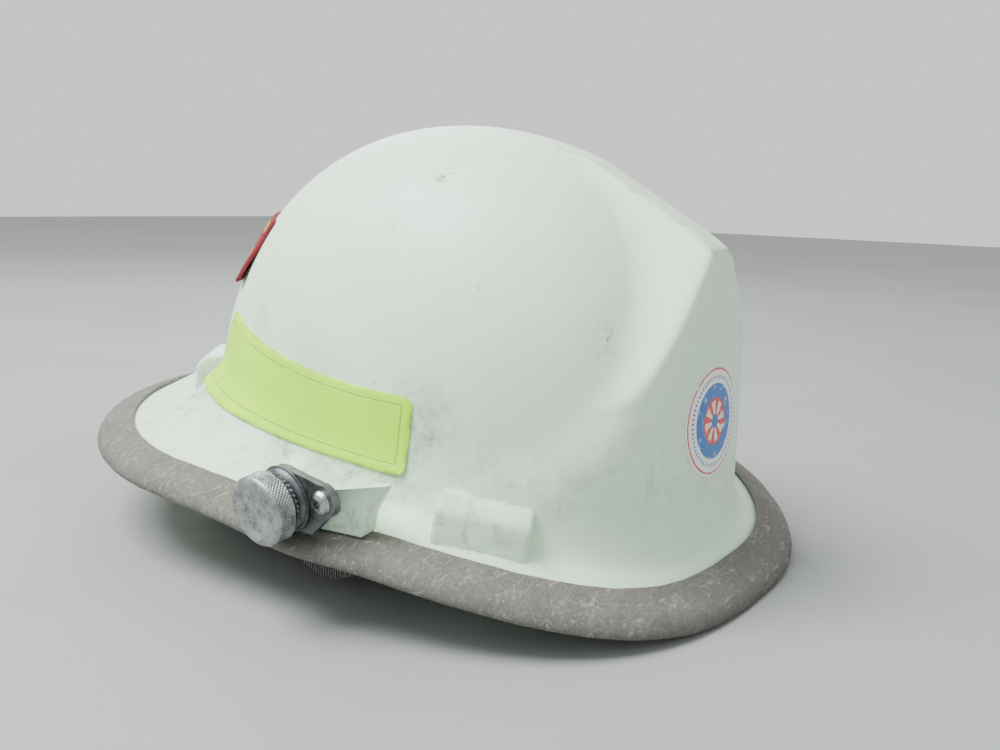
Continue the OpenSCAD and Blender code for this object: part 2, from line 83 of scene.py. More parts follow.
class Mat:
    """A procedural material, with short calls for the nodes it is made of."""

    def __init__(self, name):
        self.mat = bpy.data.materials.new(name)
        self.mat.use_nodes = True
        self.tree = self.mat.node_tree
        self.shader = self.tree.nodes["Principled BSDF"]
        self.place = self.new("ShaderNodeTexCoord").outputs["Object"]

    def new(self, kind, **settings):
        node = self.tree.nodes.new(kind)
        for key, value in settings.items():
            setattr(node, key, value)
        return node

    def put(self, socket, value):
        if isinstance(value, bpy.types.NodeSocket):
            self.tree.links.new(value, socket)
        elif socket.type == "RGBA" and len(value) == 3:
            socket.default_value = (*value, 1)
        else:
            socket.default_value = value

    def set(self, **values):
        for key, value in values.items():
            self.put(self.shader.inputs[key.replace("_", " ")], value)

    def noise(self, scale, detail=4, rough=0.55, at=None, warp=0):
        node = self.new("ShaderNodeTexNoise")
        self.put(node.inputs["Vector"], at or self.place)
        node.inputs["Scale"].default_value = scale
        node.inputs["Detail"].default_value = detail
        node.inputs["Roughness"].default_value = rough
        node.inputs["Distortion"].default_value = warp
        return node.outputs["Fac"]

    def cells(self, scale, feature="F1", at=None):
        node = self.new("ShaderNodeTexVoronoi", feature=feature)
        self.put(node.inputs["Vector"], at or self.place)
        node.inputs["Scale"].default_value = scale
        return node.outputs["Distance"]

    def stretch(self, scale, turn=(0, 0, 0)):
        node = self.new("ShaderNodeMapping")
        self.put(node.inputs["Vector"], self.place)
        node.inputs["Scale"].default_value = scale
        node.inputs["Rotation"].default_value = turn
        return node.outputs["Vector"]

    def ramp(self, value, low, high, a=0.0, b=1.0):
        node = self.new("ShaderNodeMapRange", interpolation_type="SMOOTHSTEP")
        self.put(node.inputs["Value"], value)
        for key, number in (("From Min", low), ("From Max", high), ("To Min", a), ("To Max", b)):
            self.put(node.inputs[key], number)
        return node.outputs["Result"]

    def math(self, op, a, b=0.0):
        node = self.new("ShaderNodeMath", operation=op)
        self.put(node.inputs[0], a)
        self.put(node.inputs[1], b)
        return node.outputs[0]

    def mix(self, factor, a, b):
        node = self.new("ShaderNodeMix", data_type="RGBA")
        self.put(node.inputs[0], factor)
        self.put(node.inputs[6], a)
        self.put(node.inputs[7], b)
        return node.outputs[2]

    def split(self, vector=None):
        node = self.new("ShaderNodeSeparateXYZ")
        self.put(node.inputs[0], vector or self.place)
        return node.outputs

    def near(self, centre, inner, outer):
        """1 inside radius inner of a point, 0 beyond outer."""
        node = self.new("ShaderNodeVectorMath", operation="DISTANCE")
        self.put(node.inputs[0], self.place)
        node.inputs[1].default_value = centre
        return self.ramp(node.outputs["Value"], inner, outer, 1.0, 0.0)

    def bump(self, height, depth, after=None):
        node = self.new("ShaderNodeBump")
        node.inputs["Strength"].default_value = 1.0
        node.inputs["Distance"].default_value = depth
        self.put(node.inputs["Height"], height)
        if after:
            self.put(node.inputs["Normal"], after)
        return node.outputs["Normal"]

    def attribute(self, name):
        return self.new("ShaderNodeAttribute", attribute_name=name).outputs["Fac"]

    def uv(self):
        return self.new("ShaderNodeUVMap", uv_map="panel").outputs["UV"]


def multiply(mat, *values):
    total = values[0]
    for value in values[1:]:
        total = mat.math("MULTIPLY", total, value)
    return total


def strongest(mat, *values):
    total = values[0]
    for value in values[1:]:
        total = mat.math("MAXIMUM", total, value)
    return total


# ---------------------------------------------------------------- materials

# Knocked places on the shell: centre, radius, and how finely the streaks run along each axis.
SCUFFS = [
    ((0.0589, -0.0554, 0.1682), 0.008, (30, 90, 200)),
    ((0.0848, -0.0120, 0.1790), 0.009, (60, 40, 120)),
    ((0.1340, -0.0483, 0.1079), 0.011, (120, 120, 60)),
    ((0.0452, -0.0790, 0.1416), 0.012, (70, 90, 120)),
    ((0.0928, -0.0746, 0.1244), 0.006, (70, 90, 120)),
    ((0.0941, -0.0126, 0.1740), 0.008, (60, 40, 120)),
    ((-0.060, 0.0500, 0.1300), 0.012, (70, 90, 120)),
    ((0.0500, 0.0850, 0.1300), 0.012, (70, 90, 120)),
    ((0.1200, 0.0600, 0.1000), 0.010, (110, 70, 60)),
]
KNOB_X = 0.0518


def shell_material():
    m = Mat("worn_white_shell")
    broad = m.noise(9, 3)
    cloud = m.noise(45, 6, 0.62)
    fine = m.noise(420, 5, 0.7)
    base = m.mix(m.ramp(broad, 0.35, 0.7), (0.730, 0.930, 0.740), (0.660, 0.870, 0.670))
    base = m.mix(m.ramp(cloud, 0.42, 0.75, 0, 0.35), base, (0.62, 0.745, 0.56))
    # Grey grime that gathers round the hardware, the panels and the foot of the dome, the same on
    # both sides: x, half-width y, height, full radius, outer radius and amount.
    z = m.split()[2]
    grit = m.ramp(m.noise(130, 8, 0.72, warp=0.4), 0.46, 0.70)
    mid_grit = m.ramp(m.noise(55, 7, 0.7), 0.45, 0.68)
    side_grime = [multiply(m, m.near((x, s * y, h), r0, r1), amount)
                  for s in (-1, 1)
                  for (x, y, h, r0, r1, amount) in (
                      (KNOB_X + 0.012, 0.112, 0.052, 0.006, 0.040, 1.0),
                      (-0.060, 0.086, 0.062, 0.004, 0.034, 0.95),
                      (0.080, 0.096, 0.072, 0.004, 0.026, 0.90),
                      (0.100, 0.088, 0.040, 0.008, 0.036, 0.70),
                      (0.018, 0.103, 0.056, 0.006, 0.045, 0.70),
                      (-0.020, 0.088, 0.104, 0.004, 0.034, 0.45))]
    around = strongest(m, *side_grime)
    foot = multiply(m, m.ramp(z, 0.030, 0.052, 0, 1), m.ramp(z, 0.056, 0.085, 1, 0), 0.30)
    grime = multiply(m, strongest(m, around, foot), strongest(m, multiply(m, mid_grit, 0.7), grit))
    colour = m.mix(grime, base, (0.235, 0.235, 0.195))
    # Dark streaky scuffs at the places that get knocked.
    marks = []
    ragged = m.ramp(m.noise(95, 3, 0.6), 0.40, 0.58)
    for centre, radius, scale in SCUFFS:
        streak = m.ramp(m.noise(5, 8, 0.82, at=m.stretch(scale, (0.3, 0.5, 0.2)), warp=0.4), 0.53, 0.64)
        marks.append(multiply(m, m.near(centre, 0, radius * 1.25), streak, ragged))
    dust = m.ramp(m.noise(260, 3, 0.6), 0.70, 0.76)
    specks = multiply(m, dust, m.ramp(m.noise(22, 2), 0.5, 0.62), 0.6)
    marks.append(specks)
    scuff = strongest(m, *marks)
    colour = m.mix(multiply(m, scuff, 0.85), colour, (0.12, 0.125, 0.115))
    # Hairline scratches.
    hair = m.noise(5, 2, 0.5, at=m.stretch((40, 160, 60), (0.4, 0.9, 0.3)), warp=3.0)
    line = multiply(m, m.ramp(m.math("ABSOLUTE", m.math("SUBTRACT", hair, 0.5)), 0.0, 0.006, 1, 0),
                    m.ramp(m.noise(14, 2), 0.50, 0.62))
    colour = m.mix(multiply(m, line, 0.30), colour, (0.42, 0.44, 0.38))
    # The crest of the ridge is rubbed grey.
    rubbed = multiply(m, m.attribute("crest"), m.ramp(m.noise(90, 7, 0.7), 0.25, 0.60, 0.45, 1.0))
    colour = m.mix(multiply(m, rubbed, 0.50), colour, (0.50, 0.50, 0.41))
    nicks = m.ramp(m.noise(150, 5, 0.75, warp=0.8), 0.50, 0.60)
    worn_edge = multiply(m, m.attribute("edge"), nicks, m.ramp(m.noise(25, 2), 0.42, 0.56))
    colour = m.mix(multiply(m, worn_edge, 0.8), colour, (0.13, 0.12, 0.10))
    # Painted highlight: a lighter strip along the arch edge of the front wall, broken up by noise.
    arch_highlight = multiply(m, m.attribute("arch"), m.ramp(m.noise(60, 4), 0.35, 0.6))
    colour = m.mix(multiply(m, arch_highlight, 0.35), colour, (0.86, 0.93, 0.85))
    dull = m.math("ADD", multiply(m, cloud, 0.6), multiply(m, grime, 0.7))
    m.set(Base_Color=colour,
          Roughness=m.ramp(dull, 0.2, 1.0, 0.42, 0.72),
          Normal=m.bump(m.math("SUBTRACT", multiply(m, fine, 0.25), scuff), 0.00012,
                        m.bump(m.noise(28, 3), 0.0004)))
    m.shader.inputs["Specular IOR Level"].default_value = 0.42
    m.shader.inputs["Subsurface Weight"].default_value = 0.04
    m.shader.inputs["Subsurface Radius"].default_value = (0.004, 0.004, 0.003)
    return m.mat


def trim_material():
    m = Mat("scuffed_trim")
    fibre = m.noise(620, 8, 0.8, warp=1.2)
    mid = m.noise(130, 7, 0.75, warp=0.6)
    patchy = m.ramp(m.noise(22, 5, 0.65), 0.36, 0.64)
    smear = m.noise(8, 6, 0.72, at=m.stretch((60, 16, 50)), warp=1.2)
    tone = m.math("ADD", m.ramp(fibre, 0.35, 0.68, 0, 0.55), m.ramp(mid, 0.30, 0.75, 0, 0.40))
    colour = m.mix(tone, (0.100, 0.095, 0.084), (0.180, 0.174, 0.155))
    colour = m.mix(multiply(m, patchy, m.ramp(fibre, 0.46, 0.62), 0.40), colour, (0.32, 0.31, 0.275))
    colour = m.mix(m.ramp(smear, 0.54, 0.66, 0, 0.5), colour, (0.43, 0.42, 0.375))
    dark = m.ramp(m.noise(70, 6, 0.75), 0.56, 0.70, 0, 0.30)
    colour = m.mix(dark, colour, (0.05, 0.047, 0.042))
    # Painted contact shadow: the trim darkens towards the bottom, within 10 mm above the floor, where the
    # front of the brim rests.
    colour = m.mix(m.ramp(m.split()[2], 0.0, 0.010, 0.6, 0.0), colour, (0.06, 0.056, 0.05))
    m.set(Base_Color=colour, Roughness=m.ramp(fibre, 0.3, 0.7, 0.60, 0.85),
          Normal=m.bump(m.math("ADD", fibre, multiply(m, mid, 0.8)), 0.00030, m.bump(m.noise(38, 5), 0.0008)))
    m.shader.inputs["Specular IOR Level"].default_value = 0.35
    return m.mat


def panel_material():
    m = Mat("fluorescent_panel")
    u, v, _ = m.split(m.uv())
    edge = m.math("MINIMUM", m.math("MINIMUM", u, m.math("SUBTRACT", PANEL_W, u)),
                  m.math("MINIMUM", v, m.math("SUBTRACT", PANEL_H, v)))
    line = m.ramp(m.math("ABSOLUTE", m.math("SUBTRACT", edge, 0.0042)), 0.0, 0.00045, 1, 0)
    prism = m.cells(1100, "DISTANCE_TO_EDGE", at=m.uv())
    dirt = m.ramp(m.noise(140, 6, 0.7), 0.52, 0.72, 0, 0.35)
    rim_dirt = multiply(m, m.ramp(edge, 0.0, 0.0016, 1, 0), m.ramp(m.noise(160, 4), 0.40, 0.6))
    colour = m.mix(m.ramp(m.noise(30, 3), 0.3, 0.7), (0.50, 0.98, 0.0), (0.43, 0.90, 0.0))
    colour = m.mix(multiply(m, dirt, 0.35), colour, (0.40, 0.50, 0.08))
    colour = m.mix(multiply(m, line, m.ramp(m.noise(90, 4), 0.3, 0.6, 0.45, 0.9)), colour, (0.16, 0.26, 0.03))
    colour = m.mix(multiply(m, rim_dirt, 0.6), colour, (0.22, 0.27, 0.06))
    m.set(Base_Color=colour, Roughness=m.ramp(dirt, 0, 0.35, 0.34, 0.55),
          Normal=m.bump(m.math("SUBTRACT", multiply(m, m.ramp(prism, 0, 0.08), 0.15), line), 0.00018))
    # Painted glow: the panel emits a little light in its own colour.
    m.set(Emission_Color=colour)
    m.shader.inputs["Emission Strength"].default_value = 0.22
    return m.mat


def emblem_material():
    m = Mat("round_emblem")
    _, y, z = m.split()
    dy = y
    dz = m.math("SUBTRACT", z, EMBLEM_Z)
    r = m.math("SQRT", m.math("ADD", m.math("MULTIPLY", dy, dy), m.math("MULTIPLY", dz, dz)))
    angle = m.math("ARCTAN2", dz, dy)
    soft = 0.00012

    def disc(radius):
        return m.ramp(r, radius - soft, radius + soft, 1, 0)

    white, blue, red = (0.82, 0.86, 0.84), (0.035, 0.16, 0.47), (0.62, 0.06, 0.05)
    petals = m.ramp(m.math("SINE", m.math("MULTIPLY", angle, 8.0)), -0.15, 0.15)
    colour = m.mix(disc(0.0222), white, red)
    colour = m.mix(disc(0.0214), colour, white)
    ticks = multiply(m, m.ramp(m.math("SINE", m.math("MULTIPLY", angle, 60.0)), 0.1, 0.3),
                     disc(0.0192), m.math("SUBTRACT", 1.0, disc(0.0176)))
    colour = m.mix(ticks, colour, blue)
    colour = m.mix(disc(0.0158), colour, blue)
    colour = m.mix(disc(0.0098), colour, red)
    colour = m.mix(multiply(m, disc(0.0086), petals), colour, (0.80, 0.72, 0.68))
    colour = m.mix(disc(0.0030), colour, blue)
    worn = multiply(m, m.ramp(m.noise(240, 6, 0.7), 0.56, 0.66), 0.8)
    colour = m.mix(worn, colour, white)
    m.set(Base_Color=colour, Roughness=m.ramp(m.noise(80, 4), 0.3, 0.7, 0.30, 0.48),
          Normal=m.bump(m.noise(300, 3), 0.00003))
    return m.mat


def patch_material():
    m = Mat("woven_patch")
    u, v, _ = m.split(m.uv())
    edge = m.math("MINIMUM", m.math("MINIMUM", u, m.math("SUBTRACT", 0.036, u)),
                  m.math("MINIMUM", v, m.math("SUBTRACT", 0.032, v)))
    border = m.ramp(edge, 0.0018, 0.0022, 1, 0)
    weave = m.math("ADD", m.math("SINE", m.math("MULTIPLY", u, 9000.0)),
                   m.math("SINE", m.math("MULTIPLY", v, 9000.0)))
    band = m.ramp(m.math("SINE", m.math("MULTIPLY", v, 420.0)), -0.1, 0.1)
    colour = m.mix(band, (0.36, 0.018, 0.03), (0.62, 0.36, 0.03))
    colour = m.mix(border, colour, (0.25, 0.012, 0.02))
    colour = m.mix(m.ramp(m.noise(200, 4), 0.4, 0.7, 0, 0.4), colour, (0.10, 0.03, 0.05))
    m.set(Base_Color=colour, Roughness=m.ramp(weave, -2, 2, 0.75, 0.9), Normal=m.bump(weave, 0.00015))
    return m.mat


DIRT, DIRT_AMOUNT = (0.05, 0.05, 0.045), 0.5


def metal(name, dark, light, rough_low, rough_high, scale=140, metallic=1.0):
    m = Mat(name)
    blotch = m.ramp(m.noise(scale, 7, 0.7), 0.36, 0.68)
    spots = m.ramp(m.noise(scale * 2.6, 5, 0.75, warp=0.5), 0.52, 0.66)
    colour = m.mix(blotch, dark, light)
    colour = m.mix(multiply(m, spots, DIRT_AMOUNT), colour, DIRT)
    scratch = m.noise(9, 4, 0.7, at=m.stretch((500, 60, 500), (0.5, 0.3, 0.8)))
    dull = m.math("ADD", blotch, multiply(m, spots, 0.6))
    m.set(Base_Color=colour, Roughness=m.ramp(dull, 0, 1.4, rough_low, rough_high),
          Normal=m.bump(m.math("ADD", scratch, multiply(m, spots, -0.8)), 0.00005))
    m.shader.inputs["Metallic"].default_value = metallic
    return m.mat


def plastic(name, dark, light, rough=0.45):
    m = Mat(name)
    fine = m.noise(900, 3, 0.6)
    colour = m.mix(m.ramp(m.noise(60, 5, 0.65), 0.35, 0.7), dark, light)
    m.set(Base_Color=colour, Roughness=m.ramp(m.noise(120, 4), 0.3, 0.7, rough, rough + 0.15),
          Normal=m.bump(fine, 0.00004))
    return m.mat


def cloth(name, dark, light, pitch, sheen=0.25, depth=0.00018):
    """Woven cloth: two sets of threads, pitch apart, that cross over upright and level surfaces."""
    m = Mat(name)
    x, y, z = m.split()
    k = 2 * math.pi / pitch
    across = m.math("SINE", m.math("MULTIPLY", m.math("ADD", x, y), k))
    lean = multiply(m, m.math("SUBTRACT", x, y), 0.5)
    along = m.math("SINE", m.math("MULTIPLY", m.math("ADD", z, lean), k))
    weave = m.math("ADD", across, along)
    tone = m.ramp(m.noise(45, 6, 0.65), 0.35, 0.7)
    colour = m.mix(m.math("ADD", multiply(m, tone, 0.6), m.ramp(weave, -2, 2, 0, 0.4)), dark, light)
    m.set(Base_Color=colour, Roughness=m.ramp(weave, -2, 2, 0.95, 0.8),
          Normal=m.bump(weave, depth, m.bump(m.noise(180, 5), 0.0005)))
    m.shader.inputs["Sheen Weight"].default_value = sheen
    m.shader.inputs["Sheen Roughness"].default_value = 0.5
    return m.mat


def foam(name, dark, light):
    m = Mat(name)
    bead = m.cells(260, "SMOOTH_F1")
    colour = m.mix(m.ramp(bead, 0.1, 0.7), dark, light)
    m.set(Base_Color=colour,
          Roughness=m.ramp(m.noise(90, 4), 0.3, 0.7, 0.80, 0.95),
          Normal=m.bump(bead, 0.0004))
    return m.mat


# ---------------------------------------------------------------- mesh helpers


def make(name, verts, faces, mat, body="helmet", slot=None, replaces=(), sharp=None, level=0):
    mesh = bpy.data.meshes.new(name)
    mesh.from_pydata([tuple(v) for v in verts], [], faces)
    mesh.validate()
    work = bmesh.new()
    work.from_mesh(mesh)
    bmesh.ops.recalc_face_normals(work, faces=work.faces)
    work.to_mesh(mesh)
    work.free()
    mesh.shade_smooth()
    if sharp:
        mesh.set_sharp_from_angle(angle=math.radians(sharp))
    mesh.materials.append(mat)
    obj = bpy.data.objects.new(name, mesh)
    bpy.context.scene.collection.objects.link(obj)
    if level:
        sub = obj.modifiers.new("smooth", "SUBSURF")
        sub.levels = level
        sub.render_levels = level
    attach(obj, body)
    if replaces:
        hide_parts(*replaces)
    return obj


def ring_faces(rows, cols, closed_rows=False):
    """Quads over a grid whose columns run right round."""
    last = rows if closed_rows else rows - 1
    return [(i * cols + j, i * cols + (j + 1) % cols,
             ((i + 1) % rows) * cols + (j + 1) % cols, ((i + 1) % rows) * cols + j)
            for i in range(last) for j in range(cols)]


def slab(over, under):
    """Vertices and faces of a closed slab between two grids of shape (rows, cols, 3)."""
    rows, cols, _ = over.shape
    n = rows * cols
    verts = np.concatenate([over.reshape(-1, 3), under.reshape(-1, 3)])
    faces = []
    for i in range(rows - 1):
        for j in range(cols - 1):
            a = i * cols + j
            faces.append((a, a + 1, a + cols + 1, a + cols))
            faces.append((n + a, n + a + cols, n + a + cols + 1, n + a + 1))
    border = list(range(cols))
    border += [i * cols + cols - 1 for i in range(1, rows)]
    border += [(rows - 1) * cols + j for j in range(cols - 2, -1, -1)]
    border += [i * cols for i in range(rows - 2, 0, -1)]
    for a, b in zip(border, border[1:] + border[:1]):
        faces.append((a, n + a, n + b, b))
    return verts, faces


# ---------------------------------------------------------------- shell shape (as in the CAD, millimetres)

BRIM_X, BRIM_FRONT, BRIM_REAR, BRIM_HALF = -30.5, 211.0, 150.0, 138.8
BRIM_SIDE_Z, BRIM_RISE, BRIM_DROOP = 39.7, 0.0365, 26.6
SHELL_T = 3.0
DOME_X, DOME_Z = 26.5, 48.0
DOME_FRONT, DOME_REAR, DOME_SIDE, DOME_UP = 131.0, 131.0, 101.0, 144.0
FACET_REACH, FRONT_WALL = 95.0, 131.5
RIM_N = (2.63, 1.8)
PLAN_N, RISE_N = 2.2, 2.15
RIDGE = [(38, 154.5), (29, 147.3), (14, 142.7)]
FACET = np.array([0.292, 0.794, 0.533])
SOFT_EDGE, CRISP_EDGE, BLEND = 32, 190, 6.0
SADDLE_DROP, SADDLE_REACH, AXIS_X = 2.4, 22.0, 51.8
TRIM_W = 13.0
PANEL_LIFT = 0.35
EMBLEM_Z = 0.072
PANEL_W, PANEL_H = 0.140, 0.034


def rim_xy(a):
    c, s = np.cos(a), np.sin(a)
    n = np.where(c >= 0, RIM_N[0], RIM_N[1])
    reach = np.where(c >= 0, BRIM_FRONT, BRIM_REAR)
    r = (np.abs(c / reach) ** n + np.abs(s / BRIM_HALF) ** n) ** (-1 / n)
    return np.stack([BRIM_X + r * c, r * s], -1)


def rim_out(a):
    step = math.radians(0.5)
    d = rim_xy(a + step) - rim_xy(a - step)
    out = np.stack([d[..., 1], -d[..., 0]], -1)
    return out / np.linalg.norm(out, axis=-1, keepdims=True)


def saddle(x):
    return np.exp(-((x - AXIS_X) / SADDLE_REACH) ** 2)


def rim_z(x):
    u = x - BRIM_X
    return (BRIM_SIDE_Z - BRIM_RISE * u - BRIM_DROOP * (np.maximum(u, 0) / BRIM_FRONT) ** RIM_N[0]
            - SADDLE_DROP * saddle(x))


def band_point(a, w, h):
    """Point of the brim's outer band: w in from the edge and h above its top face."""
    e, n = rim_xy(a), rim_out(a)
    slope = 0.30 + 0.25 * np.maximum(np.cos(a), 0) ** 4
    w = np.broadcast_to(w, a.shape)
    x, y = e[..., 0] - n[..., 0] * w, e[..., 1] - n[..., 1] * w
    return np.stack([x, y, rim_z(e[..., 0]) + slope * w + h], -1)


def wedge_shares(d):
    """How soon each flat of the wedge cuts a direction: front wall, side facet, then the ridge flats."""
    x, y, z = d[..., 0], d[..., 1], d[..., 2]
    wall = (np.maximum(x, 0) / FRONT_WALL) ** 2.5 + np.abs(y / DOME_SIDE) ** 2.5
    shares = [np.maximum(wall, 1e-9) ** (1 / 2.5)]
    shares.append(np.maximum((FACET[0] * x + FACET[1] * np.abs(y) + FACET[2] * z) / FACET_REACH, 0))
    for tilt, reach in RIDGE:
        t = math.radians(tilt)
        shares.append(np.maximum((math.sin(t) * x + math.cos(t) * z) / reach, 0))
    return np.array(shares)


def shell_radius(d):
    x, y, z = d[..., 0], d[..., 1], d[..., 2]
    reach = np.where(x >= 0, DOME_FRONT, DOME_REAR)
    plan = np.abs(x / reach) ** PLAN_N + np.abs(y / DOME_SIDE) ** PLAN_N
    rise = (np.maximum(z, 0) / DOME_UP) ** RISE_N
    dome = (plan ** (RISE_N / PLAN_N) + rise) ** (-1 / RISE_N)
    shares = wedge_shares(d)
    top = shares.max(0)
    # The edges are crisp near the peak and fade down the sides and towards the crown.
    up = np.clip((z * DOME_UP - 34) / 22, 0, 1)
    ahead = np.clip((x * DOME_FRONT - 25) / 40, 0, 1)
    k = SOFT_EDGE + (CRISP_EDGE - SOFT_EDGE) * up ** 2 * (3 - 2 * up) * ahead ** 2 * (3 - 2 * ahead)
    wedge = 1 / (top * ((shares / top) ** k).sum(0) ** (1 / k))
    wedge = wedge - 12 * (1 - np.minimum(np.maximum(x, 0) / 0.5, 1)) ** 2
    both = np.maximum(dome, wedge) + np.maximum(BLEND - np.abs(dome - wedge), 0) ** 2 / (4 * BLEND)
    return np.where(x <= 0, dome, both)


def direction(az, el):
    return np.stack([np.cos(el) * np.cos(az), np.cos(el) * np.sin(az), np.sin(el) * np.ones_like(az)], -1)


def skin(az, el, off=0.0):
    d = direction(az, el)
    return np.array([DOME_X, 0, DOME_Z]) + (shell_radius(d) + off)[..., None] * d


def aim(p):
    """Azimuth and elevation from the dome's centre to a point."""
    d = np.asarray(p, float) - np.array([DOME_X, 0, DOME_Z])
    az = np.arctan2(d[..., 1], d[..., 0]) % (2 * math.pi)
    return az, np.arctan2(d[..., 2], np.hypot(d[..., 0], d[..., 1]))


def fillet_table():
    """Azimuth, height and outward run of the sweep into the brim, right round."""
    a = np.radians(np.arange(0, 361.0))
    edge = rim_xy(a)
    az = np.arctan2(edge[:, 1], edge[:, 0] - DOME_X) % (2 * math.pi)
    az[-1] = 2 * math.pi
    foot_r = shell_radius(direction(az, 0 * az))
    brim_w = np.hypot(edge[:, 0] - DOME_X, edge[:, 1]) - foot_r
    foot_z = band_point(a, TRIM_W + 1, 0)[:, 2] + 0.42 * (brim_w - TRIM_W) + 4
    return az, foot_z + 14, 0.45 * (brim_w - TRIM_W)


FILLETS = fillet_table()


def over_shell(az, el, lift):
    """Point lift off the shell, over the sweep into the brim as well as over the dome."""
    z = skin(az, el)[..., 2]
    turn = az % (2 * math.pi)
    start = np.interp(turn, FILLETS[0], FILLETS[1])
    run = np.interp(turn, FILLETS[0], FILLETS[2])
    return skin(az, el, lift + 1.25 * run * (np.maximum(start + 1 - z, 0) / 28) ** 2)


COLUMNS = 480
DOME_RINGS, FILLET_RINGS, BAND_RINGS = 190, 14, 6


def column_angles(count):
    u = np.arange(count) * 2 * math.pi / count
    return u - math.radians(20) * np.sin(u)


def shell_columns(count, dome_rings):
    """Grid of outer points, crown to rim, shape (rings, columns, 3), and each column's azimuth."""
    a = column_angles(count)
    edge = rim_xy(a)
    az = np.arctan2(edge[:, 1], edge[:, 0] - DOME_X)
    foot_r = shell_radius(direction(az, 0 * az))
    inner = band_point(a, TRIM_W + 1, 0)
    brim_w = np.hypot(edge[:, 0] - DOME_X, edge[:, 1]) - foot_r
    foot_z = inner[:, 2] + 0.42 * (brim_w - TRIM_W) + 4
    el_end = np.arctan2(foot_z + 14 - DOME_Z, foot_r)
    p0 = skin(az, el_end)
    foot = np.stack([DOME_X + (foot_r + 1) * np.cos(az), (foot_r + 1) * np.sin(az), foot_z - 1], -1)
    out = foot + (inner - foot) * 0.45
    rows = []
    for i in range(1, dome_rings + 1):
        s = i / dome_rings
        rows.append(skin(az, math.pi / 2 - (math.pi / 2 - el_end) * s))
    for i in range(1, FILLET_RINGS + 1):
        s = i / FILLET_RINGS
        rows.append(p0 * (1 - s) ** 2 + foot * 2 * s * (1 - s) + out * s ** 2)
    for i in range(1, BAND_RINGS + 1):
        s = i / BAND_RINGS
        rows.append(out * (1 - s) + inner * s)
    for w in (TRIM_W * 0.75, TRIM_W / 2, TRIM_W / 4, 0):
        rows.append(band_point(a, w, 0))
    return np.array(rows), az


def paint(obj, name, values):
    layer = obj.data.attributes.new(name, "FLOAT", "POINT")
    layer.data.foreach_set("value", np.asarray(values, np.float32))


def build_shell(mat):
    outer, az = shell_columns(COLUMNS, DOME_RINGS)
    rows = len(outer)
    run_dir = np.stack([np.cos(az), np.sin(az)], -1)
    after = np.concatenate([outer[1:], outer[-1:]])
    before = np.concatenate([outer[:1], outer[:-1]])
    step = after - before
    run = (step[..., :2] * run_dir).sum(-1)
    length = np.hypot(run, step[..., 2]) + 1e-9
    shift = SHELL_T / length
    inwards = (step[..., 2] * shift)[..., None] * run_dir
    inner = outer + np.concatenate([inwards, (-run * shift)[..., None]], -1)
    inner[-4:] = outer[-4:] - np.array([0, 0, SHELL_T])
    keep = list(range(0, rows - 4, 3)) + list(range(rows - 4, rows))
    inner = inner[keep][::-1]
    crown = skin(np.array(0.0), math.pi / 2)
    grid = np.concatenate([outer, inner])
    verts = np.concatenate([grid.reshape(-1, 3), [crown, crown - np.array([0, 0, SHELL_T])]]) * MM
    n = grid.shape[0]
    faces = ring_faces(n, COLUMNS)
    top = n * COLUMNS
    faces += [(top, (j + 1) % COLUMNS, j) for j in range(COLUMNS)]
    faces += [(top + 1, (n - 1) * COLUMNS + j, (n - 1) * COLUMNS + (j + 1) % COLUMNS) for j in range(COLUMNS)]
    shell = make("shell", verts, faces, mat, slot="shell", replaces=("outer_shell",), sharp=60)
    rel = verts / MM - np.array([DOME_X, 0, DOME_Z])
    shares = wedge_shares(rel / np.linalg.norm(rel, axis=1, keepdims=True))
    ridge = shares[2:].max(0)
    lead = ridge / np.maximum(shares[0], shares[1]) - 1
    ahead = np.clip(rel[:, 0] / 40, 0, 1) * (rel[:, 2] > 40)
    paint(shell, "crest", np.clip(lead / 0.004 + 0.5, 0, 1) * ahead)
    paint(shell, "edge", np.exp(-(lead / 0.006) ** 2) * ahead)
    # The arch mask marks the edge of the front wall, which carries the painted highlight.
    wall_edge = np.exp(-((shares[0] / np.maximum(shares[1], ridge) - 1) / 0.006) ** 2)
    paint(shell, "arch", wall_edge * np.clip(rel[:, 0] / 40, 0, 1) * np.clip((rel[:, 2] - 20) / 15, 0, 1))
    return shell


def prism(name, profile, width, matrix, mat, bevel, **facts):
    """A profile in X, Z drawn out along Y by width, centred, with rounded edges."""
    n = len(profile)
    verts = [matrix @ Vector((x * MM, s * width / 2 * MM, z * MM)) for s in (-1, 1) for x, z in profile]
    faces = [tuple(range(n))[::-1], tuple(range(n, 2 * n))]
    faces += [(i, (i + 1) % n, n + (i + 1) % n, n + i) for i in range(n)]
    obj = make(name, verts, faces, mat, **facts)
    add_bevel(obj, bevel, 4)
    return obj


def add_bevel(obj, width, segments=3, angle=30):
    bevel = obj.modifiers.new("round", "BEVEL")
    bevel.width = width
    bevel.segments = segments
    bevel.limit_method = "ANGLE"
    bevel.angle_limit = math.radians(angle)
    bevel.harden_normals = False
    obj.data.shade_smooth()


def boss_matrix(at, az, lean, side):
    place = Matrix.Translation(Vector((at[0], side * at[1], at[2])) * MM)
    turn = Matrix.Rotation(math.radians(side * az), 4, "Z")
    return place @ turn @ Matrix.Rotation(math.radians(side * lean), 4, "X")


SIDES = ((-1, "right"), (1, "left"))
# Blocks moulded above the brim: name, centre on the left, azimuth, lean and how far they stand out.
BOSSES = (("front", (103.5, 80, 37.5), 58, 9, 19), ("rear", (-80, 63.5, 69), 138, 0, 11))
BOSS_W, BOSS_ROUND = 37, 0.0022


def build_bosses(mat):
    for side, word in SIDES:
        for name, at, az, lean, depth in BOSSES:
            profile = [(-6, -13), (depth, -13), (depth - 1, 6), (depth - 6, 11), (-6, 11)]
            prism(f"boss_{name}_{word}", profile, BOSS_W, boss_matrix(at, az, lean, side), mat,
                  BOSS_ROUND, slot="shell")


# ---------------------------------------------------------------- hardware frame

DIP = math.radians(8)
AXIS_AT = Vector((51.8, -131.6, 48.5)) * MM


